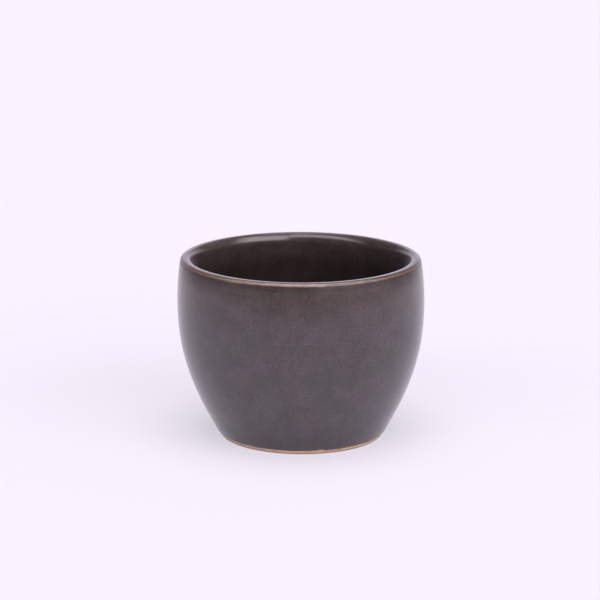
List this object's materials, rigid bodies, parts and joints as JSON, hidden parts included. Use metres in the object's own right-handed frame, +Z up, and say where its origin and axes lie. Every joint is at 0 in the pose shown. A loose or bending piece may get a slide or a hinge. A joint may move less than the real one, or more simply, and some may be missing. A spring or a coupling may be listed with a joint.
{
  "type": "candle jar",
  "caption": "Round-bellied stoneware candle jar without a lid, satin glazed inside and out above a bare clay foot; holds a poured candle.",
  "frame": {"origin": "centre of the base, on the vessel's axis and on the plane of the foot ring that it stands on", "axes": "+Z up along the vessel's axis; the vessel is the same all round, and -Y is called its front"},
  "size_m": [0.095, 0.095, 0.0693],
  "materials": {
    "bare_stoneware": "matte",
    "satin_glaze": "satin",
    "rim_break_glaze": "satin"
  },
  "bodies": {
    "root": {"stoneware_body": "bare_stoneware", "outer_glaze": "satin_glaze", "rim_glaze": "rim_break_glaze", "liner_glaze": "satin_glaze", "base_glaze": "satin_glaze"}
  },
  "joints": []
}
